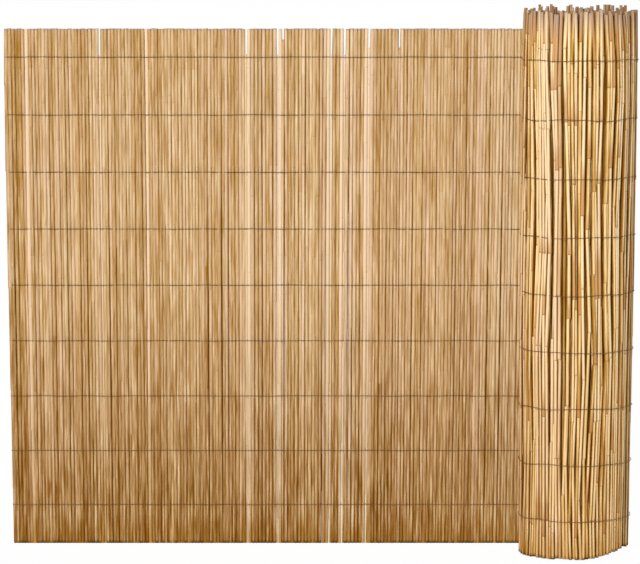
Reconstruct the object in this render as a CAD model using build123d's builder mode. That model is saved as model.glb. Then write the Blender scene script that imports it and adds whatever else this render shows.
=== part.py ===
# Reed screening roll that stands on end, with about a metre of its mat run out to one side.
# Millimetres, +Z up. The bore of the roll is on the Z axis and every reed stands on Z = 0.
# The mat leaves the back of the roll (+Y side) along a tangent and runs to -X.
import os
from math import cos, pi, radians, sin

from build123d import *

os.makedirs("parts", exist_ok=True)

# Driving dimensions
mat_height = 1000.0  # length of a trimmed reed, which is the height of the screen
run_out_length = 1100.0  # mat between the roll and its free end
bore_radius = 28.0  # hollow middle of the roll
turns = 8  # turns of mat in the roll
turn_gap = 0.9  # air between two turns
reed_across = 6.2  # thickness of one reed
reed_gap = 0.2  # space between two reeds
wire_thickness = 0.95  # one strand of binding wire
wire_seat = 0.05  # play between a strand and the reeds that it holds
wire_lines = 9  # rows of wire up the height
top_wire_drop = 52.0  # first row of wire below the trimmed top
bottom_wire_rise = 84.0  # last row of wire above the cut ends
end_groove_width = 3.4  # groove between two turns on the ends of the roll
end_groove_depth = 5.0
shortest_tip = 34.0  # least that a rolled reed stands above the mat's trimmed top
longest_tip = 54.0  # most that one does
slit_width = 1.6  # where two reeds of the mat stand apart

# A reed has six sides: flats face its neighbours and corners touch the wires.
reed_sides = 6
half_reed = reed_across / 2
reed_corner = half_reed / cos(pi / reed_sides)
reed_pitch = reed_across + reed_gap

# Each turn takes one reed and a strand of wire on both of its faces.
strand_offset = reed_corner + wire_seat + wire_thickness / 2
turn_pitch = 2 * (reed_corner + wire_thickness + 2 * wire_seat) + turn_gap

# The spiral is a chain of half circles. Those on the right (+X) are about the bore's axis,
# and those on the left are about a point half a turn pitch in front of it, so each half
# circle runs on into the next and the radius drops by one turn pitch in every turn.
turn_count = max(3, round(turns))
outer_radius = bore_radius + (turn_count - 0.5) * turn_pitch  # middle of the outer turn, right
left_centre_y = -turn_pitch / 2
outer_radius_left = outer_radius - turn_pitch / 2

# Reeds of the outer turn, evenly spaced on both of its half circles
reeds_right = int(pi * outer_radius // reed_pitch)
reeds_left = int(pi * outer_radius_left // reed_pitch)

# Rolled reeds aren't trimmed: their tips stand at uneven heights above the mat's top.
tip_steps = (0.1, 0.55, 0.3, 0.0, 0.75, 0.4, 1.0, 0.2, 0.6, 0.05, 0.85)

# Reeds of the run-out mat, counted from its free end, that are broken off at the top.
# Each share is how far down it is broken, from the trimmed top to the first row of wire.
broken_tops = {28: 0.95, 72: 0.95, 81: 0.95, 83: 0.4, 97: 0.95, 101: 0.95, 108: 0.7, 117: 0.7}

# Slits stand behind these reeds, all the way down.
slit_reeds = (72, 81, 96, 100, 107)

run_reeds = int((run_out_length - slit_width * len(slit_reeds)) // reed_pitch)


def run_place_x(number):
    """How far out a reed of the run-out mat stands, counted from the free end."""
    slits_behind = len([reed for reed in slit_reeds if number <= reed < run_reeds - 1])
    return -(run_reeds - number - 0.5) * reed_pitch - slits_behind * slit_width


def turned_places(count, radius, centre_y, first_angle):
    """Places of reeds round one half circle, clockwise from above, each facing its centre."""
    step = 180 / count
    places = []
    for number in range(count):
        angle = first_angle - (number + 0.5) * step
        x = radius * cos(radians(angle))
        y = centre_y + radius * sin(radians(angle))
        places.append(Location((x, y, 0), (0, 0, 1), angle))
    return places


def reeds_by_height(places, heights):
    """Reeds that share a height, so that each group can be drawn and raised at once."""
    groups = {}
    for place, height in zip(places, heights):
        groups.setdefault(height, []).append(place)
    return groups


# The inner turns: one turned body with the bore through it, as high as their middling tips
core_gap = 0.1
core_height = mat_height + (shortest_tip + longest_tip) / 2
core_right = outer_radius - reed_corner - core_gap
core_left = outer_radius_left - reed_corner - core_gap
with BuildPart() as inner_turns:
    with BuildSketch() as roll_plan:
        with BuildLine() as roll_outline:
            CenterArc((0, 0), core_right, 90, -180)
            CenterArc((0, left_centre_y), core_left, 270, -180)
            Line((0, left_centre_y + core_left), (0, core_right))
        make_face()
        Circle(bore_radius, mode=Mode.SUBTRACT)
    extrude(amount=core_height)
    # A V groove follows the gap between each turn and the next, on the top and the bottom.
    for end_level, inward in ((core_height, -1), (0, 1)):
        for turn in range(2, turn_count):
            gap_right = outer_radius - (turn - 0.5) * turn_pitch
            gap_left = outer_radius - turn * turn_pitch
            halves = [(gap_right, 0, 180)]
            if turn < turn_count - 1:
                halves.append((gap_left, left_centre_y, -180))
            for gap_radius, centre_y, sweep_angle in halves:
                tip = end_level + inward * end_groove_depth
                mouth = end_level - inward
                reach = end_groove_width / 2 * (end_groove_depth + 1) / end_groove_depth
                middle_y = centre_y - gap_radius
                with BuildSketch(Plane.YZ) as groove_section:
                    with BuildLine():
                        Polyline(
                            (middle_y, tip),
                            (middle_y - reach, mouth),
                            (middle_y + reach, mouth),
                            close=True,
                        )
                    make_face()
                revolve(
                    axis=Axis((0, centre_y, 0), (0, 0, 1)),
                    revolution_arc=sweep_angle,
                    mode=Mode.SUBTRACT,
                )
inner_turns.part.label = "inner_turns"
export_step(inner_turns.part, "parts/inner_turns.step")

# The outer turn: single reeds round the roll
outer_places = turned_places(reeds_right, outer_radius, 0, 90)
outer_places += turned_places(reeds_left, outer_radius_left, left_centre_y, -90)
outer_heights = []
for number in range(len(outer_places)):
    share = tip_steps[(number * number + number // 5) % len(tip_steps)]
    outer_heights.append(mat_height + shortest_tip + share * (longest_tip - shortest_tip))
with BuildPart() as outer_turn_reeds:
    for height, places in reeds_by_height(outer_places, outer_heights).items():
        with BuildSketch():
            with Locations(*places):
                RegularPolygon(half_reed, reed_sides, major_radius=False)
        extrude(amount=height)
outer_turn_reeds.part.label = "outer_turn_reeds"
export_step(outer_turn_reeds.part, "parts/outer_turn_reeds.step")

# The run-out mat: a straight row of reeds, trimmed level but for the broken ones
run_places = []
run_heights = []
for number in range(run_reeds):
    run_places.append(Location((run_place_x(number), outer_radius, 0)))
    run_heights.append(mat_height - broken_tops.get(number, 0) * top_wire_drop)
with BuildPart() as run_out_reeds:
    for height, places in reeds_by_height(run_places, run_heights).items():
        with BuildSketch():
            with Locations(*places):
                RegularPolygon(half_reed, reed_sides, major_radius=False, rotation=180 / reed_sides)
        extrude(amount=height)
run_out_reeds.part.label = "run_out_reeds"
export_step(run_out_reeds.part, "parts/run_out_reeds.step")

# The binding wires: each runs along the front of the mat, round its end reed, back along
# the other face and once round the roll, to where the mat's next turn covers it.
wire_count = max(2, round(wire_lines))
wire_step = (mat_height - top_wire_drop - bottom_wire_rise) / (wire_count - 1)
wire_levels = [bottom_wire_rise + line * wire_step for line in range(wire_count)]
end_x = run_place_x(0)
front_end_x = -2 * core_gap
covered_y = outer_radius_left + left_centre_y
edges = (strand_offset - wire_thickness / 2, strand_offset + wire_thickness / 2)
with BuildPart() as binding_wires:
    for level in wire_levels:
        with BuildSketch(Plane.XY.offset(level - wire_thickness / 2)):
            with BuildLine():
                for edge in edges:
                    side_x = end_x - edge * cos(pi / reed_sides)
                    Polyline(
                        (front_end_x, outer_radius - edge),
                        (end_x, outer_radius - edge),
                        (side_x, outer_radius - edge / 2),
                        (side_x, outer_radius + edge / 2),
                        (end_x, outer_radius + edge),
                        (0, outer_radius + edge),
                    )
                    CenterArc((0, 0), outer_radius + edge, 90, -180)
                    CenterArc((0, left_centre_y), outer_radius_left + edge, 270, -180)
                Line((front_end_x, outer_radius - edges[0]), (front_end_x, outer_radius - edges[1]))
                Line((0, covered_y + edges[0]), (0, covered_y + edges[1]))
            make_face()
        extrude(amount=wire_thickness)
binding_wires.part.label = "binding_wires"
export_step(binding_wires.part, "parts/binding_wires.step")

print("roll width", round(outer_radius + outer_radius_left + 2 * strand_offset, 1))
print("reeds in the run-out mat", run_reeds, "and in the outer turn", len(outer_places))
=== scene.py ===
"""Looks of a reed screening roll: its stalks, its binding wires and a plain studio around them."""

import math
import random

import bmesh
import bpy
from mathutils import Matrix, Vector


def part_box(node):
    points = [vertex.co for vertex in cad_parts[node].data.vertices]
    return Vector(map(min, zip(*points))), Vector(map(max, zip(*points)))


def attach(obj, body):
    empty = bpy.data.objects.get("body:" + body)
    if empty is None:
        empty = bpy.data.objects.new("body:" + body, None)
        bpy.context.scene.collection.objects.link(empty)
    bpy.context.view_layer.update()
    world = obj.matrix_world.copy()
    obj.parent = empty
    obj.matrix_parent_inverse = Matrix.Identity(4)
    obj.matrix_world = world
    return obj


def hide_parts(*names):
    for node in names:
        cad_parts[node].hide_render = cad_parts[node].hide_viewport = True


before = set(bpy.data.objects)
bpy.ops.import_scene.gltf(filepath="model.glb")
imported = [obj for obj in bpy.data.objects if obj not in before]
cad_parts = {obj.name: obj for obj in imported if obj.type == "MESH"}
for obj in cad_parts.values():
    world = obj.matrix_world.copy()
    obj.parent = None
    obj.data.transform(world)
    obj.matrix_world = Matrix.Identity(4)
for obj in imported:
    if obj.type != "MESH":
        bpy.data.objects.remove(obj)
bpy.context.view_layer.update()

bl_info = {
    "name": "Reed Screening Roll",
    "version": (1, 0, 0),
    "blender": (4, 5, 0),
    "location": "3D View > Sidebar > Reed roll",
    "description": "Dresses a rolled reed screen in single stalks and binding wires",
    "category": "Object",
}

MM = 0.001

# Places that the solids give
RUN_LOW, RUN_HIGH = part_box("run_out_reeds")
WIRE_LOW, WIRE_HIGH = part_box("binding_wires")
MAT_Y = (RUN_LOW.y + RUN_HIGH.y) / 2
MAT_HEIGHT = RUN_HIGH.z

# The mat: stalks counted from its free end
REED_PITCH = 6.4 * MM
RUN_COUNT = 170
SLIT_WIDTH = 1.6 * MM
SLIT_REEDS = (72, 81, 96, 100, 107)
UNSHADED_MASTERS = 4  # how many stalks are modelled without painted flank shade, to stand beside slits
PALE_REEDS = (6, 28, 42)
MAT_MASTERS = 30
FAN_START = 0.12  # metres from the roll over which the mat's fan sets in
DRAWN_REACH = 7  # how many stalks away a broken stalk still draws its neighbours in
DRAWN_IN = 1.1 * MM
DRAWN_IN_BY_SLIT = 2.0 * MM
BROKEN_TOPS = {28: 0.95, 72: 0.95, 81: 0.95, 83: 0.4, 97: 0.95, 101: 0.95, 108: 0.7, 117: 0.7}

# The roll: half circles on the right are about the axis, those on the left about LEFT_CENTRE_Y
TURNS = 8
BORE_RADIUS = 28 * MM
TURN_PITCH = (MAT_Y - BORE_RADIUS) / (TURNS - 0.5)
LEFT_CENTRE_Y = -TURN_PITCH / 2
ROLL_MASTERS = 26
INNER_MASTERS = 4
CROWDING = 1.1  # stalks of the outer turn for each one that its pitch gives
SUNK_SHARE = 0.15
LEANING_SHARE = 0.15
NESTED = 4.2 * MM  # how far the first inner turns move out, into the gaps of the outer one
FRONT_TIPS = 0.42  # usual tip, as a share of the way from the shortest to the longest
OTHER_TIPS = 0.3
WAVES = ((2.8, 10.1, 2.7, 1.3), (2.2, 14.0, -2.0, 0.0))  # mm, upwards, round the roll, start
FOOT_LIFTS = (16.0, 2.5, 1.6)  # mm off the floor: on the right, in front and at random
LIFTED_FROM = -78  # degrees round the roll
LIFTED_TO = 75
LIFT_EASE = 45

# The stalks
JOINT_SWELL = 1.1
JOINT_REACH = 1.5 * MM  # how far below a joint its swelling starts
FIRST_JOINT = 40 * MM  # lowest place of a stalk's first joint
LAST_JOINT = (35 * MM, 140 * MM)  # least and most from the last joint to the tip
LAST_STRETCH = 60 * MM  # least from any other joint to the last
END_DEPTH = 9 * MM
SPLAY_START = 0.915  # share of the height from which a splayed tip bends
STALK_SMOOTHING = 50
WIRE_SMOOTHING = 60

# The rows of wire
ROWS = 9
HALF_WIRE = 0.475 * MM
FIRST_ROW = WIRE_LOW.z + HALF_WIRE
LAST_ROW = WIRE_HIGH.z - HALF_WIRE
ROW_SAG = (8.0, 18.1, -23.4)  # mm at the lowest row, then by the share of the way up and its square
STRAND_CLEARANCE = 1.2 * MM  # what stalks stand proud of their usual width
ROLL_SLACK = 1.1 * MM  # how far a strand stands off the roll

# The photograph's camera
PICTURE_WIDTH = 640
PIXELS_A_METRE = 516.8
SENSOR_WIDTH = 36


def row_level(row):
    """Height of a row of wire. Rows hang 3 to 12 mm below even spacing, the middle ones most."""
    share = row / (ROWS - 1)
    lowest, slope, bend = ROW_SAG
    sag = (lowest + slope * share + bend * share * share) * MM
    return FIRST_ROW + share * (LAST_ROW - FIRST_ROW) - sag


class ReedRollSettings(bpy.types.PropertyGroup):
    """Sizes and colours that a user would change."""

    stalk_width: bpy.props.FloatProperty(
        name="Stalk width", description="Middle thickness of a stalk", default=6.3 * MM,
        unit="LENGTH", subtype="DISTANCE")
    stalk_wall: bpy.props.FloatProperty(
        name="Stalk wall", description="Wall of the hollow stalk at its cut ends", default=1.0 * MM,
        unit="LENGTH", subtype="DISTANCE")
    mat_fan: bpy.props.FloatProperty(
        name="Mat fan", description="How much narrower the mat is at its foot, as a share",
        default=0.024, subtype="FACTOR")
    fan_middle: bpy.props.FloatProperty(
        name="Fan middle", description="How far from the roll the stalks stand upright", default=0.635,
        unit="LENGTH", subtype="DISTANCE")
    roll_flare: bpy.props.FloatProperty(
        name="Roll flare", description="How much further out the roll stands at its top than at its foot",
        default=10.0 * MM, unit="LENGTH", subtype="DISTANCE")
    shortest_tip: bpy.props.FloatProperty(
        name="Shortest tip", description="Rise of the shortest rolled stalk over the trimmed mat",
        default=22 * MM, unit="LENGTH", subtype="DISTANCE")
    longest_tip: bpy.props.FloatProperty(
        name="Longest tip", description="Rise of the longest rolled stalk over the trimmed mat",
        default=52 * MM, unit="LENGTH", subtype="DISTANCE")
    wire_width: bpy.props.FloatProperty(
        name="Wire width", description="Thickness of a strand of binding wire", default=1.15 * MM,
        unit="LENGTH", subtype="DISTANCE")
    stitch_width: bpy.props.FloatProperty(
        name="Stitch width", description="Thickness of the thin wire looped over the strands",
        default=0.6 * MM, unit="LENGTH", subtype="DISTANCE")
    stitch_step: bpy.props.IntProperty(
        name="Stitch step", description="Stalks between one loop of thin wire and the next", default=2)
    straw_colour: bpy.props.FloatVectorProperty(
        name="Straw", description="Palest rolled stalk", default=(0.90, 0.68, 0.405), subtype="COLOR")
    gold_colour: bpy.props.FloatVectorProperty(
        name="Gold", description="Usual rolled stalk", default=(0.82, 0.57, 0.26), subtype="COLOR")
    amber_colour: bpy.props.FloatVectorProperty(
        name="Amber", description="Darkest rolled stalk", default=(0.42, 0.205, 0.03), subtype="COLOR")
    sand_colour: bpy.props.FloatVectorProperty(
        name="Sand", description="Palest stalk of the mat", default=(0.72, 0.54, 0.335), subtype="COLOR")
    tan_colour: bpy.props.FloatVectorProperty(
        name="Tan", description="Usual stalk of the mat", default=(0.515, 0.33, 0.155), subtype="COLOR")
    brown_colour: bpy.props.FloatVectorProperty(
        name="Brown", description="Darkest stalk of the mat", default=(0.30, 0.135, 0.012), subtype="COLOR")
    sheath_colour: bpy.props.FloatVectorProperty(
        name="Leaf sheath", description="Orange-brown leaf sheath", default=(0.52, 0.235, 0.065),
        subtype="COLOR")
    leaf_colour: bpy.props.FloatVectorProperty(
        name="Pale leaf sheath", description="Dull light brown leaf sheath", default=(0.49, 0.275, 0.125),
        subtype="COLOR")
    # Painted shade between two stalks; the same colour also darkens the joint rings and is the darkest tone
    # of the inner stalks.
    groove_shade_and_joint_colour: bpy.props.FloatVectorProperty(
        name="Groove", description="Dust and shade between two stalks", default=(0.16, 0.054, 0.002),
        subtype="COLOR")
    blush_colour: bpy.props.FloatVectorProperty(
        name="Blush", description="Pinkish cast of some stalks", default=(0.74, 0.54, 0.39),
        subtype="COLOR")
    olive_colour: bpy.props.FloatVectorProperty(
        name="Olive", description="Greenish cast of some stalks", default=(0.52, 0.41, 0.14),
        subtype="COLOR")
    # Multiplied in to make the stalks darker and browner towards the foot, in blotches.
    foot_darkening_colour: bpy.props.FloatVectorProperty(
        name="Soil", description="Stain that browns the foot", default=(0.52, 0.37, 0.13),
        subtype="COLOR")
    grey_colour: bpy.props.FloatVectorProperty(
        name="Weathered", description="Greyish tips and cut ends", default=(0.36, 0.27, 0.22),
        subtype="COLOR")
    # Near-black painted shade at the bottom of each hollow cut end; it also darkens the lowest 7 mm of the
    # stalks.
    hollow_shade_and_foot_colour: bpy.props.FloatVectorProperty(
        name="Hollow", description="Dark inside of a cut end", default=(0.04, 0.02, 0.008),
        subtype="COLOR")
    wire_colour: bpy.props.FloatVectorProperty(
        name="Wire", description="Dark weathered wire", default=(0.10, 0.044, 0.008), subtype="COLOR")
    rust_colour: bpy.props.FloatVectorProperty(
        name="Rust", description="Rusty wire", default=(0.21, 0.095, 0.02), subtype="COLOR")
    paper_colour: bpy.props.FloatVectorProperty(
        name="Backdrop", description="Plain pale floor", default=(0.92, 0.92, 0.92), subtype="COLOR")


class Value:
    """A shader socket that carries a number, with the usual arithmetic."""

    def __init__(self, bench, socket):
        self.bench = bench
        self.socket = socket

    def math(self, operation, first, second, clamp=False):
        settings = {"operation": operation, "use_clamp": clamp}
        node = self.bench.node("ShaderNodeMath", settings, [first, second])
        return Value(self.bench, node.outputs[0])

    def __add__(self, other):
        return self.math("ADD", self, other)

    def __radd__(self, other):
        return self.math("ADD", other, self)

    def __sub__(self, other):
        return self.math("SUBTRACT", self, other)

    def __rsub__(self, other):
        return self.math("SUBTRACT", other, self)

    def __mul__(self, other):
        return self.math("MULTIPLY", self, other)

    def __truediv__(self, other):
        return self.math("DIVIDE", self, other)

    def clamped(self):
        return self.math("ADD", self, 0.0, clamp=True)


class Bench:
    """A new material, and what adds nodes to it."""

    def __init__(self, name):
        self.material = bpy.data.materials.new(name)
        self.material.use_nodes = True
        self.tree = self.material.node_tree
        self.shader = self.tree.nodes["Principled BSDF"]

    def node(self, kind, settings=None, inputs=None):
        """A node of this type. Its settings come first, then the values or links of its sockets."""
        node = self.tree.nodes.new(kind)
        for key, value in (settings or {}).items():
            if key == "stops":
                self.set_stops(node.color_ramp, value)
            else:
                setattr(node, key, value)
        pairs = inputs.items() if isinstance(inputs, dict) else enumerate(inputs or [])
        for key, value in pairs:
            self.fill(node.inputs[key], value)
        return node

    def fill(self, socket, value):
        """Links a socket, or sets it where the value is a plain one."""
        source = value.socket if isinstance(value, Value) else value
        if isinstance(source, bpy.types.NodeSocket):
            self.tree.links.new(source, socket)
        elif socket.type == "RGBA":
            socket.default_value = (*source, 1.0)
        else:
            socket.default_value = source

    def set_stops(self, ramp, stops):
        while len(ramp.elements) < len(stops):
            ramp.elements.new(1.0)
        for element, (place, colour) in zip(ramp.elements, stops):
            element.position = place
            element.color = (*colour, 1.0)

    def attribute(self, name):
        node = self.node("ShaderNodeAttribute", {"attribute_type": "GEOMETRY", "attribute_name": name})
        return Value(self, node.outputs["Fac"])

    def place(self):
        return self.node("ShaderNodeTexCoord").outputs["Object"]

    def height(self):
        return Value(self, self.node("ShaderNodeSeparateXYZ", {}, [self.place()]).outputs["Z"])

    def noise(self, stretch, detail):
        """Noise over the piece's own coordinates, with so many lumps a metre each way."""
        mapped = self.node("ShaderNodeMapping", {}, {"Vector": self.place(), "Scale": stretch})
        noise = self.node(
            "ShaderNodeTexNoise", {}, {"Vector": mapped.outputs[0], "Scale": 1.0, "Detail": detail})
        return Value(self, noise.outputs["Fac"])

    def mix(self, factor, first, second, blend="MIX"):
        """Two colours mixed by a number."""
        settings = {"data_type": "RGBA", "blend_type": blend}
        return self.node("ShaderNodeMix", settings, {0: factor, 6: first, 7: second}).outputs[2]

    def bump(self, height, strength, distance):
        node = self.node(
            "ShaderNodeBump", {}, {"Height": height, "Strength": strength, "Distance": distance})
        self.fill(self.shader.inputs["Normal"], node.outputs[0])


def stalk_material(name, settings, colours, looks):
    """Dried reed: pale to brown stems with fine streaks, dull leaf sheaths and dark joints, with painted
    highlights on the crests and painted shade on the flanks, in the grooves and in the hollow ends.

    colours holds the palest, the usual and the darkest stem. looks holds, in this order: lumps a
    metre up the stem, how mottled it is, how strong the painted highlight on its crest, how dark the
    painted shade in its groove at most and how much of that shade mostly shows, how brown its foot,
    how strong its leaf sheaths, how grey and how long its tip, and how dark its end.
    """
    bench = Bench(name)
    pale, usual, dark = (tuple(colour) for colour in colours)
    groove_shade_and_joint_colour = tuple(settings.groove_shade_and_joint_colour)
    lumps = looks["lumps"]
    # Per stalk: how strong its painted groove shade, how grey its tip and how dark its foot.
    grime = bench.attribute("grime")
    groove = bench.attribute("groove")
    below_tip = bench.attribute("below_tip")
    streak = bench.noise((650.0, 650.0, lumps), 4.0)
    patch = bench.noise((210.0, 210.0, lumps * 0.55), 5.0)
    cast = bench.noise((110.0, 110.0, 5.0), 1.0)
    # Noise that varies how strong the painted groove shade is along the stem.
    groove_shade_noise = bench.noise((230.0, 230.0, lumps * 1.3), 3.0)

    # Painted highlight: the middle of each stalk, away from its neighbours, is made paler.
    crest_highlight = (0.55 - groove) * looks["crest_highlight"]
    mottle = ((patch - 0.5) * 1.5 + (streak - 0.5) * 1.5) * looks["mottle"]
    shade = (bench.attribute("tone") + bench.attribute("stretch_tone") + crest_highlight + mottle).clamped()
    stem = bench.node("ShaderNodeValToRGB", {"stops": [(0.0, dark), (0.5, usual), (1.0, pale)]}, [shade])
    warmth = bench.attribute("tint") + cast
    blush = (warmth * 2.0 - 2.1).clamped()
    green = (1.2 - warmth * 1.6).clamped()
    blushed = bench.mix(blush * 0.5, stem.outputs[0], tuple(settings.blush_colour))
    greened = bench.mix(green * 0.25, blushed, tuple(settings.olive_colour))
    sheath = (bench.attribute("sheath") * 25.0).clamped()
    leaf = bench.mix(bench.attribute("tint"), tuple(settings.sheath_colour), tuple(settings.leaf_colour))
    clothed = bench.mix(sheath * looks["sheath"], greened, leaf)

    ring = (1.0 - bench.attribute("above_joint") / (2.5 * MM)).clamped()
    ringed = bench.mix(ring * looks["sheath"] * 0.8, clothed, groove_shade_and_joint_colour)
    tip = (1.0 - below_tip / looks["tip_length"]).clamped() * (looks["tip"] + grime * 0.7)
    greyed = bench.mix(tip.clamped(), ringed, tuple(settings.grey_colour))
    height = bench.height() / MAT_HEIGHT
    # Painted shade in the grooves: its strength varies by stalk, in patches along the stem, and grows
    # towards the foot.
    depth = (grime - 0.5) * 0.8 + (groove_shade_noise - 0.5) * 3.4 + (0.5 - height) * 0.4 + looks["depth"]
    depth = depth.clamped() * looks["groove"]
    # Painted shade: the flanks are darkened towards the darkest stem colour, and the grooves between stalks
    # towards the groove shade colour.
    flank_shade = (groove * 2.0 - 0.7).clamped() * (0.3 + depth * 0.7)
    flank_shaded = bench.mix(flank_shade.clamped(), greyed, dark)
    shaded = bench.mix(((groove * 2.6 - 1.4) * depth).clamped(), flank_shaded, groove_shade_and_joint_colour)
    # Darker and browner towards the foot, in blotches, with a darker band along the very bottom.
    foot_blotches = 0.97 + (0.5 - patch) * 2.6 + (0.5 - streak) * 1.8
    foot_darkening = (0.52 - height).clamped() * looks["foot"] * foot_blotches
    foot_darkening = foot_darkening + (0.35 - height * 6.0).clamped()
    foot_darkened = bench.mix(foot_darkening.clamped(), shaded, tuple(settings.foot_darkening_colour), "MULTIPLY")
    # Near black within 7 mm of the foot, and painted shade at the bottom of each hollow end.
    end = (1.0 - (MAT_HEIGHT - below_tip) / (7 * MM)).clamped() * (looks["end"] + grime * 1.5).clamped()
    hollow = (bench.attribute("hollow") + end).clamped()
    ended = bench.mix(hollow, foot_darkened, tuple(settings.hollow_shade_and_foot_colour))
    bench.fill(bench.shader.inputs["Base Color"], ended)
    rough = 0.45 + sheath * 0.25 + groove * 0.2 + (streak - 0.5) * 0.3
    bench.fill(bench.shader.inputs["Roughness"], rough.clamped())
    bench.shader.inputs["Specular IOR Level"].default_value = 0.0
    bench.bump(streak, 0.3, 0.5 * MM)
    return bench.material


def wire_material(settings):
    """Dark weathered wire, rustier towards the ground."""
    bench = Bench("weathered_wire")
    patch = bench.noise((220.0, 220.0, 220.0), 3.0)
    rust = (0.9 - bench.height() * 1.4 + (patch - 0.5) * 3.0).clamped()
    coloured = bench.mix(rust, tuple(settings.wire_colour), tuple(settings.rust_colour))
    bench.fill(bench.shader.inputs["Base Color"], coloured)
    bench.fill(bench.shader.inputs["Roughness"], (0.45 + patch * 0.3).clamped())
    bench.shader.inputs["Specular IOR Level"].default_value = 0.1
    bench.bump(patch, 0.2, 0.3 * MM)
    return bench.material


def start_fresh():
    """Leaves edit mode and deselects everything, so that an operator acts on new things only."""
    if bpy.context.object and bpy.context.object.mode != "OBJECT":
        bpy.ops.object.mode_set(mode="OBJECT")
    bpy.ops.object.select_all(action="DESELECT")


def select_end(level):
    """Selects, in edit mode, the face that closes the stalk at this level."""
    stalk = bpy.context.object
    shape = bmesh.from_edit_mesh(stalk.data)
    for face in shape.faces:
        middle = stalk.matrix_world @ face.calc_center_median()
        face.select_set(abs(middle.z - level) < 1e-5 and abs(face.normal.z) > 0.9)
    shape.select_flush(True)
    bmesh.update_edit_mesh(stalk.data)


def set_numbers(mesh, name, values):
    """Writes one number a vertex, for the materials to read."""
    layer = mesh.attributes.get(name) or mesh.attributes.new(name, "FLOAT", "POINT")
    layer.data.foreach_set("value", values)


def number_stalk(mesh, joints, flank_shades):
    """Numbers for the materials: height over the last joint, sheath left, that stretch's own
    tone, way to the tip, the bottoms of the hollow ends, which get painted shade, and grooves, the sides
    that face other stalks along X, by which the material paints a highlight on each crest and shade on each
    flank.

    joints holds, upwards, each joint's height, its leaf sheath's length and the stretch's tone.
    The last argument says how strong the painted groove shade is on either side.
    """
    above_joint, sheath_left, stretch_tone, below_tip, hollow, groove = [], [], [], [], [], []
    for vertex in mesh.vertices:
        z = vertex.co.z
        above, left, tone = 1.0, -1.0, 0.0
        for level, sheath, stretch in joints:
            if z > level - 0.5 * MM:
                above = z - level
                left = sheath - above
                tone = stretch
        above_joint.append(above)
        sheath_left.append(left)
        stretch_tone.append(tone)
        below_tip.append(MAT_HEIGHT - z)
        hollow.append(1.0 if abs(min(z, MAT_HEIGHT - z) - END_DEPTH) < MM else 0.0)
        # How far a vertex faces a neighbour along X, scaled per side: where low the material paints a
        # highlight, where high it paints shade.
        groove.append(abs(vertex.normal.x) * flank_shades[vertex.co.x > 0])
    set_numbers(mesh, "above_joint", above_joint)
    set_numbers(mesh, "sheath", sheath_left)
    set_numbers(mesh, "stretch_tone", stretch_tone)
    set_numbers(mesh, "below_tip", below_tip)
    set_numbers(mesh, "hollow", hollow)
    set_numbers(mesh, "groove", groove)


def model_stalk(name, settings, sides, joints, bow, splay, flank_shades):
    """One stalk on the Z axis, as high as the mat, with its joints, a bow and hollow ends."""
    start_fresh()
    bpy.ops.mesh.primitive_cylinder_add(
        vertices=sides, radius=settings.stalk_width / 2, depth=MAT_HEIGHT, end_fill_type="NGON",
        location=(0, 0, MAT_HEIGHT / 2))
    stalk = bpy.context.object
    stalk.name = name
    bpy.ops.object.mode_set(mode="EDIT")
    rings = []
    for level, _, _ in joints:
        rings += [(level - JOINT_REACH, 1.0), (level, JOINT_SWELL)]
    if splay:
        rings.append((SPLAY_START * MAT_HEIGHT, 1.0))
    for level, swell in sorted(rings):
        share = level / MAT_HEIGHT
        sideways = bow[0] * math.sin(math.pi * share) + bow[1] * math.sin(2 * math.pi * share)
        bpy.ops.mesh.select_all(action="SELECT")
        bpy.ops.mesh.bisect(plane_co=(0, 0, level), plane_no=(0, 0, 1))
        bpy.ops.transform.resize(value=(swell, swell, 1), center_override=(0, 0, level))
        bpy.ops.transform.translate(value=(sideways, bow[2] * math.sin(math.pi * share), 0))
    for level, inward, shift in ((0.0, 1, 0.0), (MAT_HEIGHT, -1, splay)):
        select_end(level)
        bpy.ops.transform.translate(value=(shift, 0, 0))
        bpy.ops.mesh.inset(thickness=settings.stalk_wall)
        bpy.ops.mesh.extrude_region_move(
            TRANSFORM_OT_translate={"value": (0, 0, inward * END_DEPTH)})
    bpy.ops.object.mode_set(mode="OBJECT")
    bpy.ops.object.transform_apply(location=True, rotation=True, scale=True)
    number_stalk(stalk.data, joints, flank_shades)
    return stalk


def throw_joints(dice, shortest, longest, sheathed, capped, spread):
    """Each joint's height, the length of the leaf sheath above it and the tone of that stretch.

    sheathed is the share of joints with a sheath, capped is the share of stalks with a sheath
    that covers their tip, and spread is how far the stretches differ in tone.
    """
    last = MAT_HEIGHT - dice.uniform(*LAST_JOINT)
    joints = []
    level = dice.uniform(FIRST_JOINT, longest)
    while level < last - LAST_STRETCH:
        space = dice.uniform(shortest, longest)
        sheath = space * dice.uniform(0.06, 0.55) if dice.random() < sheathed else -1.0
        joints.append((level, sheath, dice.uniform(-spread, spread)))
        level += space
    sheath = 1.0 if dice.random() < capped else -1.0
    joints.append((last, sheath, dice.uniform(-1.4 * spread, 0.5 * spread)))
    return joints


def placed_copy(master, place, tone=0.5, tint=0.5, grime=0.5):
    """A copy with its own mesh, moved into place in the mesh, with its own share of each look."""
    mesh = master.data.copy()
    mesh.transform(place)
    for name, share in (("tone", tone), ("tint", tint), ("grime", grime)):
        set_numbers(mesh, name, [share] * len(mesh.vertices))
    copy = bpy.data.objects.new(master.name, mesh)
    bpy.context.collection.objects.link(copy)
    return copy


def join_as(name, copies, masters, angle):
    """Joins the copies into one piece, smooths it and clears the masters away."""
    start_fresh()
    for copy in copies:
        copy.select_set(True)
    bpy.context.view_layer.objects.active = copies[0]
    bpy.ops.object.join()
    piece = bpy.context.object
    piece.name = name
    piece.data.name = name
    bpy.ops.object.shade_smooth_by_angle(angle=math.radians(angle))
    for master in masters:
        bpy.data.objects.remove(master, do_unlink=True)
    return piece


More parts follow.
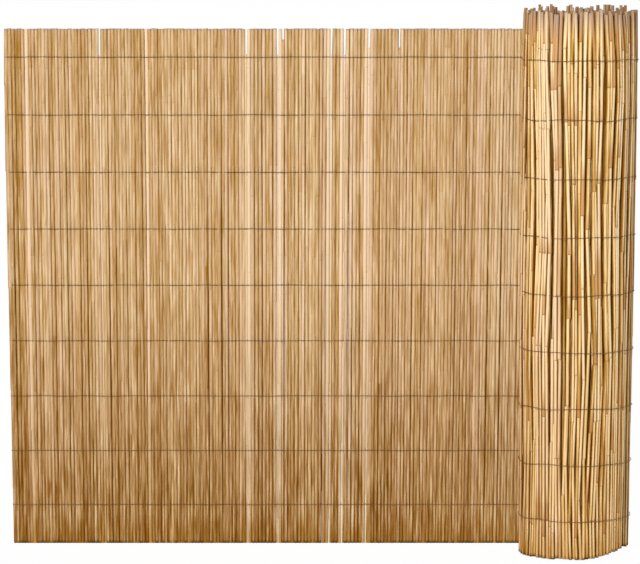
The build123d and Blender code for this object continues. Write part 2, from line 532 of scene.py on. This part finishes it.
def dress(piece, material, slot, *nodes):
    """Gives the piece its material and its body, and hides the solids that it stands for. The slot is not
    used.
    """
    piece.data.materials.clear()
    piece.data.materials.append(material)
    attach(piece, "root")
    if nodes:
        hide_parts(*nodes)


def mat_place_x(number):
    """How far out a stalk of the mat stands, counted from the free end."""
    slits_behind = len([reed for reed in SLIT_REEDS if number <= reed])
    return -(RUN_COUNT - number - 0.5) * REED_PITCH - slits_behind * SLIT_WIDTH


def by_slit(number):
    """Whether a stalk of the mat stands on one side of a slit."""
    return number in SLIT_REEDS or number - 1 in SLIT_REEDS


def drawn_in(number):
    """How far a stalk of the mat has moved towards the thin, broken ones next to it."""
    shift = 0.0
    for broken in BROKEN_TOPS:
        away = number - broken
        if 0 < abs(away) < DRAWN_REACH:
            pull = DRAWN_IN_BY_SLIT if by_slit(broken) else DRAWN_IN
            shift -= math.copysign(pull * (DRAWN_REACH - abs(away)) / (DRAWN_REACH - 1), away)
    return shift


def fanned_x(x, level, settings):
    """Where a point of the mat comes to stand when its foot is drawn in."""
    way = min(1.0, max(0.0, -x / FAN_START))
    ease = way * way * (3 - 2 * way)
    return x - settings.mat_fan * (1 - level / MAT_HEIGHT) * (x + settings.fan_middle) * ease


def half_turns(first, last):
    """Radius, centre and first angle of each half circle of the spiral, from the outside inwards."""
    halves = []
    for turn in range(first, last):
        halves.append((MAT_Y - turn * TURN_PITCH, 0.0, 90.0))
        if turn < TURNS - 1:
            halves.append((MAT_Y - (turn + 0.5) * TURN_PITCH, LEFT_CENTRE_Y, -90.0))
    return halves


def drift_at(angle, level, settings):
    """How far the roll stands out at an angle in degrees and a level: it leans to the right.

    It doesn't at the back, where the mat runs on flat.
    """
    ease = min(1.0, abs(90 - angle) / 20)
    rightwards = math.cos(math.radians(angle))
    lean = settings.roll_flare * (0.35 + 0.65 * rightwards) * (level / MAT_HEIGHT - 0.5)
    return ease * (lean + (1.1 - 2.4 * rightwards) * MM)


def rolled_place(radius, centre_y, angle, lean, settings):
    """Stands a stalk at an angle round the roll, flared outwards and leaning along the surface."""
    turned = math.radians(angle)
    outward = Vector((math.cos(turned), math.sin(turned), 0))
    along = Vector((-math.sin(turned), math.cos(turned), 0))
    foot = drift_at(angle, 0.0, settings)
    top = drift_at(angle, MAT_HEIGHT, settings)
    flare = Matrix.Rotation((top - foot) / MAT_HEIGHT, 4, along)
    middle = Matrix.Translation((0, 0, MAT_HEIGHT / 2))
    stand = Matrix.Translation(outward * (radius + (foot + top) / 2) + Vector((0, centre_y, 0)))
    tilt = middle @ Matrix.Rotation(lean, 4, outward) @ flare @ middle.inverted()
    return stand @ tilt @ Matrix.Rotation(turned + math.pi / 2, 4, "Z")


def weave(mesh, centre_y, angle):
    """Moves a stalk sideways round the roll, in waves that its neighbours follow."""
    ease = min(1.0, abs(90 - angle) / 40) * MM
    way = math.radians(angle)
    for vertex in mesh.vertices:
        level = vertex.co.z
        shift = 0.0
        for size, upwards, sideways, start in WAVES:
            shift += size * math.sin(upwards * level + sideways * way + start)
        turn = Matrix.Rotation(ease * shift / MAT_Y, 2)
        x, y = turn @ Vector((vertex.co.x, vertex.co.y - centre_y))
        vertex.co = (x, y + centre_y, level)


def foot_lift(dice, angle):
    """How far a rolled stalk's foot is off the floor: uneven, and more so on the right."""
    rise = min(1.0, max(0.0, (angle - LIFTED_FROM) / LIFT_EASE))
    rise *= min(1.0, max(0.0, (LIFTED_TO - angle) / LIFT_EASE))
    front = max(0.0, math.cos(math.radians(angle + 90)))
    right_lift, front_lift, uneven = FOOT_LIFTS
    return (right_lift * rise + front_lift * front + abs(dice.gauss(0, uneven))) * MM


def tip_rise(dice, settings, usual):
    """How far a rolled stalk stands above the trimmed mat: most about as usual, a few further."""
    share = usual + dice.uniform(-0.16, 0.16)
    if dice.random() < 0.1:
        share = usual + dice.uniform(0.1, 0.55)
    return settings.shortest_tip + (settings.longest_tip - settings.shortest_tip) * share


class REEDROLL_OT_run_out_mat(bpy.types.Operator):
    """Adds the stalks of the run-out mat, trimmed level, with slits and broken tops."""

    bl_idname = "reedroll.run_out_mat"
    bl_label = "Run-out mat"

    def execute(self, context):
        settings = context.scene.reed_roll
        dice = random.Random(41)
        masters = []
        for number in range(MAT_MASTERS):
            joints = throw_joints(
                dice, shortest=170 * MM, longest=280 * MM, sheathed=0.12, capped=0.15, spread=0.07)
            bow = [dice.uniform(-0.3, 0.3) * MM for _ in range(3)]
            flank_shades = (dice.uniform(0.45, 1.1), dice.uniform(0.45, 1.1))
            # Masters for the sides of slits get no painted flank shade.
            if number < UNSHADED_MASTERS:
                flank_shades = (0.0, 0.0)
            masters.append(model_stalk(f"mat_master_{number}", settings, 8, joints, bow, 0.0, flank_shades))
        stalks = []
        drift = 0.5
        for number in range(RUN_COUNT):
            width = dice.uniform(1.14, 1.26)
            stray = dice.uniform(-0.4, 0.4) * MM
            grime = dice.random()
            drift = 0.8 * drift + 0.2 * dice.random()
            tone = drift + dice.uniform(-0.12, 0.12) + 0.14 * (number / RUN_COUNT - 0.7)
            tint = dice.random()
            # Stalks beside a slit are paler and get no painted flank shade.
            if by_slit(number):
                width, grime, tone, stray = 1.08, -0.2, 1.1, 0.0
            if number in PALE_REEDS:
                grime, tone, tint = -0.6, 1.3, 0.95
            if number in BROKEN_TOPS:
                width = 0.55 if by_slit(number) else 0.72
            drop = BROKEN_TOPS.get(number, 0.0) * (MAT_HEIGHT - LAST_ROW) + dice.uniform(-0.3, 0.8) * MM
            size = Matrix.Diagonal((width, width, 1 - drop / MAT_HEIGHT, 1))
            turn = Matrix.Rotation(math.pi * dice.randrange(2), 4, "Z")
            x = mat_place_x(number) + drawn_in(number) + stray
            place = Matrix.Translation((x, MAT_Y + dice.uniform(-0.3, 0.3) * MM, 0))
            suited = masters[:UNSHADED_MASTERS] if by_slit(number) else masters[UNSHADED_MASTERS:]
            stalk = placed_copy(dice.choice(suited), place @ size @ turn, tone, tint, grime)
            for vertex in stalk.data.vertices:
                vertex.co.x = fanned_x(vertex.co.x, vertex.co.z, settings)
            stalks.append(stalk)
        piece = join_as("mat_stalks", stalks, masters, STALK_SMOOTHING)
        colours = (settings.sand_colour, settings.tan_colour, settings.brown_colour)
        looks = {"lumps": 22.0, "mottle": 0.95, "crest_highlight": 0.15, "groove": 1.25, "depth": 0.85, "foot": 1.5,
                 "sheath": 0.25, "tip": 0.4, "tip_length": 5 * MM, "end": 0.1}
        material = stalk_material("mat_reed", settings, colours, looks)
        dress(piece, material, "reed", "run_out_reeds")
        return {"FINISHED"}


class REEDROLL_OT_outer_turn(bpy.types.Operator):
    """Adds the stalks of the roll's outer turn, which lean, cross and end unevenly."""

    bl_idname = "reedroll.outer_turn"
    bl_label = "Outer turn"

    def execute(self, context):
        settings = context.scene.reed_roll
        dice = random.Random(7)
        masters = []
        for number in range(ROLL_MASTERS):
            joints = throw_joints(
                dice, shortest=110 * MM, longest=250 * MM, sheathed=0.42, capped=0.5, spread=0.22)
            bow = [dice.uniform(-1.2, 1.2) * MM, dice.uniform(-0.9, 0.9) * MM, dice.uniform(-0.5, 0.5) * MM]
            splay = dice.uniform(-3.0, 3.0) * MM
            flank_shades = (dice.uniform(0.88, 1.14), dice.uniform(0.88, 1.14))
            masters.append(model_stalk(f"roll_master_{number}", settings, 8, joints, bow, splay, flank_shades))
        stalks = []
        drift = 0.0
        for radius, centre_y, first in half_turns(0, 1):
            count = int(math.pi * radius * CROWDING // REED_PITCH)
            sunk = [dice.random() < SUNK_SHARE for _ in range(count)]
            rooms = [0.08 if low else dice.uniform(0.98, 1.16) for low in sunk]
            turned = 0.0
            for low, room in zip(sunk, rooms):
                angle = first - (turned + room / 2) * 180 / sum(rooms)
                turned += room
                width = room * dice.uniform(0.97, 1.06)
                out = radius + dice.uniform(-0.6, 0.6) * MM
                if low:
                    width = dice.uniform(0.7, 0.9)
                    out = radius - 2.6 * MM
                drift = 0.75 * drift + dice.uniform(-0.0022, 0.0022)
                lean = drift
                if dice.random() < LEANING_SHARE:
                    lean = dice.uniform(-0.022, 0.022)
                    out += 0.8 * MM
                rise = tip_rise(dice, settings, FRONT_TIPS if abs(angle + 90) < 90 else OTHER_TIPS)
                lift = foot_lift(dice, angle)
                size = Matrix.Diagonal((width, width, 1 + (rise - lift) / MAT_HEIGHT, 1))
                place = rolled_place(out, centre_y, angle, lean, settings)
                place = place @ Matrix.Translation((0, 0, lift))
                looks = (dice.uniform(0.0, 1.0), dice.random(), dice.uniform(0.35, 1.0))
                stalk = placed_copy(dice.choice(masters), place @ size, *looks)
                weave(stalk.data, centre_y, angle)
                stalks.append(stalk)
        piece = join_as("outer_turn_stalks", stalks, masters, STALK_SMOOTHING)
        colours = (settings.straw_colour, settings.gold_colour, settings.amber_colour)
        looks = {"lumps": 18.0, "mottle": 0.9, "crest_highlight": 0.7, "groove": 1.0, "depth": 0.95, "foot": 1.0,
                 "sheath": 0.85, "tip": 0.35, "tip_length": 45 * MM, "end": -0.35}
        material = stalk_material("roll_reed", settings, colours, looks)
        dress(piece, material, "reed", "outer_turn_reeds")
        return {"FINISHED"}


class REEDROLL_OT_inner_turns(bpy.types.Operator):
    """Adds the stalks of the inner turns, which show at both ends of the roll."""

    bl_idname = "reedroll.inner_turns"
    bl_label = "Inner turns"

    def execute(self, context):
        settings = context.scene.reed_roll
        dice = random.Random(23)
        masters = [model_stalk(f"inner_master_{number}", settings, 6, [], (0, 0, 0), 0.0, (1, 1))
                   for number in range(INNER_MASTERS)]
        stalks = []
        for order, (radius, centre_y, first) in enumerate(half_turns(1, TURNS)):
            nested = NESTED if order < 2 else 0.0
            count = int(math.pi * (radius + nested) // (REED_PITCH * 1.02))
            for number in range(count):
                angle = first - (number + 0.5 + dice.uniform(-0.1, 0.1)) * 180 / count
                width = dice.uniform(0.85, 1.12)
                rise = tip_rise(dice, settings, OTHER_TIPS)
                lift = foot_lift(dice, angle)
                size = Matrix.Diagonal((width, width, 1 + (rise - lift) / MAT_HEIGHT, 1))
                out = radius + nested + dice.uniform(-1.0, 1.0) * MM
                place = rolled_place(out, centre_y, angle, 0.0, settings)
                place = place @ Matrix.Translation((0, 0, lift))
                looks = (dice.uniform(0.1, 0.8), dice.uniform(0.3, 0.55), dice.random())
                stalks.append(placed_copy(dice.choice(masters), place @ size, *looks))
        piece = join_as("inner_turn_stalks", stalks, masters, STALK_SMOOTHING)
        # Painted shade: the inner turns take a darker palette than the outer turn, from gold down to the
        # groove shade colour.
        colours = (settings.gold_colour, settings.amber_colour, settings.groove_shade_and_joint_colour)
        looks = {"lumps": 18.0, "mottle": 0.7, "crest_highlight": 0.3, "groove": 0.5, "depth": 0.5, "foot": 0.5,
                 "sheath": 0.5, "tip": 0.25, "tip_length": 24 * MM, "end": -0.75}
        material = stalk_material("inner_reed", settings, colours, looks)
        dress(piece, material, "reed", "inner_turns")
        return {"FINISHED"}


def sway(row, way):
    """How far a row of wire strays from its level, by the way along it from the back of the roll.

    The way is negative along the mat, where the wire is drawn tight.
    """
    dice = random.Random(row)
    waves = [math.sin(dice.uniform(20, 80) * way + dice.uniform(0, math.tau)) for _ in range(4)]
    slack = 0.35 * MM + 1.2 * MM * min(1.0, max(0.0, way / 0.06))
    return slack * sum(waves) / 2


def mat_point(row, x, offset, settings):
    """A point of a row of wire beside the mat, so far behind the mat's middle."""
    level = row_level(row) + sway(row, x)
    return Vector((fanned_x(x, level, settings), MAT_Y + offset, level))


def roll_point(row, half, angle, offset, settings):
    """A point of a row of wire round a half circle of the outer turn, at an angle in degrees."""
    radius, centre_y, first = half
    way = math.radians(90 - angle) * radius
    level = row_level(row) + sway(row, way)
    out = radius + offset + drift_at(angle, level, settings)
    turned = math.radians(angle)
    return Vector((out * math.cos(turned), centre_y + out * math.sin(turned), level))


def strand_offset(settings):
    """From the middle of the stalks to the middle of a strand that lies on them."""
    return settings.stalk_width / 2 + STRAND_CLEARANCE + settings.wire_width / 2


def strand_route(row, settings):
    """Points of one strand: front of the mat, round its end stalk, back, and round the roll."""
    offset = strand_offset(settings)
    end_x = mat_place_x(0)
    steps = 60
    route = [mat_point(row, end_x * step / steps, -offset, settings) for step in range(steps + 1)]
    end_stalk = mat_point(row, end_x, 0.0, settings)
    for step in range(1, 6):
        angle = math.radians(270 - step * 30)
        route.append(end_stalk + offset * Vector((math.cos(angle), math.sin(angle), 0)))
    route += [mat_point(row, end_x * (1 - step / steps), offset, settings) for step in range(steps + 1)]
    for half in half_turns(0, 1):
        for step in range(1, 37):
            angle = half[2] - step * 5
            loose = offset + ROLL_SLACK * min(1.0, (90 - angle) / 20)
            route.append(roll_point(row, half, angle, loose, settings))
    return route


class REEDROLL_OT_row_wires(bpy.types.Operator):
    """Adds the nine rows of wire, each along the mat and round the roll."""

    bl_idname = "reedroll.row_wires"
    bl_label = "Wire rows"

    def execute(self, context):
        settings = context.scene.reed_roll
        strands = []
        for row in range(ROWS):
            start_fresh()
            route = strand_route(row, settings)
            bpy.ops.mesh.primitive_plane_add(size=MM, location=route[0])
            strand = context.object
            bpy.ops.object.transform_apply(location=True, rotation=True, scale=True)
            bpy.ops.object.mode_set(mode="EDIT")
            bpy.ops.mesh.merge(type="CENTER")
            for here, there in zip(route, route[1:]):
                bpy.ops.mesh.extrude_vertices_move(TRANSFORM_OT_translate={"value": there - here})
            bpy.ops.object.mode_set(mode="OBJECT")
            bpy.ops.object.convert(target="CURVE")
            strand.data.bevel_depth = settings.wire_width / 2
            strand.data.bevel_resolution = 1
            strand.data.use_fill_caps = True
            bpy.ops.object.convert(target="MESH")
            strands.append(strand)
        piece = join_as("row_wires", strands, [], WIRE_SMOOTHING)
        dress(piece, wire_material(settings), "wire", "binding_wires")
        return {"FINISHED"}


class REEDROLL_OT_wire_stitches(bpy.types.Operator):
    """Adds the thin wire that is looped over the strands between the stalks."""

    bl_idname = "reedroll.wire_stitches"
    bl_label = "Wire stitches"

    def execute(self, context):
        settings = context.scene.reed_roll
        start_fresh()
        half_width = settings.stitch_width / 2
        reach = strand_offset(settings) + settings.wire_width / 2 + half_width
        height = settings.wire_width / 2 + half_width
        bpy.ops.mesh.primitive_torus_add(
            major_radius=reach, minor_radius=half_width, major_segments=8, minor_segments=4,
            rotation=(0, math.pi / 2, 0))
        loop = context.object
        loop.name = "stitch_master"
        bpy.ops.object.transform_apply(location=True, rotation=True, scale=True)
        bpy.ops.object.mode_set(mode="EDIT")
        bpy.ops.mesh.select_all(action="SELECT")
        bpy.ops.transform.resize(value=(1, 1, height / reach * 1.15), center_override=(0, 0, 0))
        bpy.ops.object.mode_set(mode="OBJECT")
        dice = random.Random(17)
        places = []
        for row in range(ROWS):
            for number in range(0, RUN_COUNT - 1, settings.stitch_step):
                x = (mat_place_x(number) + mat_place_x(number + 1)) / 2
                lean = Matrix.Rotation(dice.uniform(-0.15, 0.15), 4, "Y")
                places.append(Matrix.Translation(mat_point(row, x, 0.0, settings)) @ lean)
            for half in half_turns(0, 1):
                count = int(math.pi * half[0] // REED_PITCH)
                for number in range(1, count, settings.stitch_step):
                    angle = half[2] - number * 180 / count
                    lean = Matrix.Rotation(dice.uniform(-0.25, 0.25), 4, "Y")
                    stand = Matrix.Translation(roll_point(row, half, angle, ROLL_SLACK, settings))
                    places.append(stand @ Matrix.Rotation(math.radians(angle + 90), 4, "Z") @ lean)
        stitches = [placed_copy(loop, place) for place in places]
        piece = join_as("wire_stitches", stitches, [loop], WIRE_SMOOTHING)
        dress(piece, bpy.data.materials["weathered_wire"], "wire")
        return {"FINISHED"}


class REEDROLL_OT_stage(bpy.types.Operator):
    """Adds the floor, the white surroundings, the lamps and the camera."""

    bl_idname = "reedroll.stage"
    bl_label = "Stage"

    def execute(self, context):
        settings = context.scene.reed_roll
        start_fresh()
        bpy.ops.mesh.primitive_plane_add(size=400, location=(-0.5, 0, -0.3 * MM))
        floor = context.object
        floor.name = "studio_floor"
        bench = Bench("studio_paper")
        bench.shader.inputs["Base Color"].default_value = (*settings.paper_colour, 1)
        bench.shader.inputs["Roughness"].default_value = 0.9
        rays = bench.node("ShaderNodeLightPath")
        seen = Value(bench, rays.outputs["Is Camera Ray"]) + Value(bench, rays.outputs["Is Glossy Ray"])
        seen = (seen + Value(bench, rays.outputs["Is Transmission Ray"])).clamped()
        glow = bench.node("ShaderNodeEmission", {}, {"Color": (1, 1, 1), "Strength": 1.0})
        mixer = bench.node(
            "ShaderNodeMixShader", {}, [seen * 0.97, bench.shader.outputs[0], glow.outputs[0]])
        bench.fill(bench.tree.nodes["Material Output"].inputs["Surface"], mixer.outputs[0])
        floor.data.materials.append(bench.material)

        world = bpy.data.worlds.new("studio_air")
        context.scene.world = world
        world.use_nodes = True
        world.node_tree.nodes["Background"].inputs["Color"].default_value = (1, 1, 1, 1)
        world.node_tree.nodes["Background"].inputs["Strength"].default_value = 0.4

        middle = Vector((-0.45, 0, 0.5))
        bpy.ops.object.light_add(type="SUN", location=(-4.7, -10.2, 5.4))
        key = context.object
        key.name = "key_light"
        key.data.angle = math.radians(11)
        key.data.energy = 2.82
        key.rotation_euler = (middle - key.location).to_track_quat("-Z", "Y").to_euler()
        bpy.ops.object.light_add(type="SUN", location=(3.5, 9.0, 6.0))
        back = context.object
        back.name = "back_light"
        back.data.angle = math.radians(20)
        back.data.energy = 1.2
        back.rotation_euler = (middle - back.location).to_track_quat("-Z", "Y").to_euler()

        distance = 7.0
        pitch = math.radians(5.6)
        centre = Vector((-0.4895, MAT_Y, 0.5105))
        bpy.ops.object.camera_add()
        camera = context.object
        camera.name = "photo_camera"
        camera.location = centre + distance * Vector((0, -math.cos(pitch), math.sin(pitch)))
        camera.rotation_euler = (math.pi / 2 - pitch, 0, 0)
        camera.data.sensor_width = SENSOR_WIDTH
        camera.data.lens = SENSOR_WIDTH * PIXELS_A_METRE * distance / PICTURE_WIDTH
        camera.data.clip_end = 200
        context.scene.camera = camera
        context.scene.view_settings.view_transform = "Standard"
        return {"FINISHED"}


PIECES = (
    REEDROLL_OT_run_out_mat,
    REEDROLL_OT_outer_turn,
    REEDROLL_OT_inner_turns,
    REEDROLL_OT_row_wires,
    REEDROLL_OT_wire_stitches,
    REEDROLL_OT_stage,
)


class REEDROLL_PT_panel(bpy.types.Panel):
    """Lists the sizes, the colours and the pieces of the roll."""

    bl_idname = "REEDROLL_PT_panel"
    bl_label = "Reed roll"
    bl_space_type = "VIEW_3D"
    bl_region_type = "UI"
    bl_category = "Reed roll"

    def draw(self, context):
        for name in ReedRollSettings.__annotations__:
            self.layout.prop(context.scene.reed_roll, name)
        for piece in PIECES:
            self.layout.operator(piece.bl_idname)


CLASSES = (ReedRollSettings, *PIECES, REEDROLL_PT_panel)


def register():
    for item in CLASSES:
        bpy.utils.register_class(item)
    bpy.types.Scene.reed_roll = bpy.props.PointerProperty(type=ReedRollSettings)


def unregister():
    del bpy.types.Scene.reed_roll
    for item in reversed(CLASSES):
        bpy.utils.unregister_class(item)


def main():
    register()
    bpy.ops.reedroll.run_out_mat()
    bpy.ops.reedroll.outer_turn()
    bpy.ops.reedroll.inner_turns()
    bpy.ops.reedroll.row_wires()
    bpy.ops.reedroll.wire_stitches()
    bpy.ops.reedroll.stage()


if __name__ == "__main__":
    main()
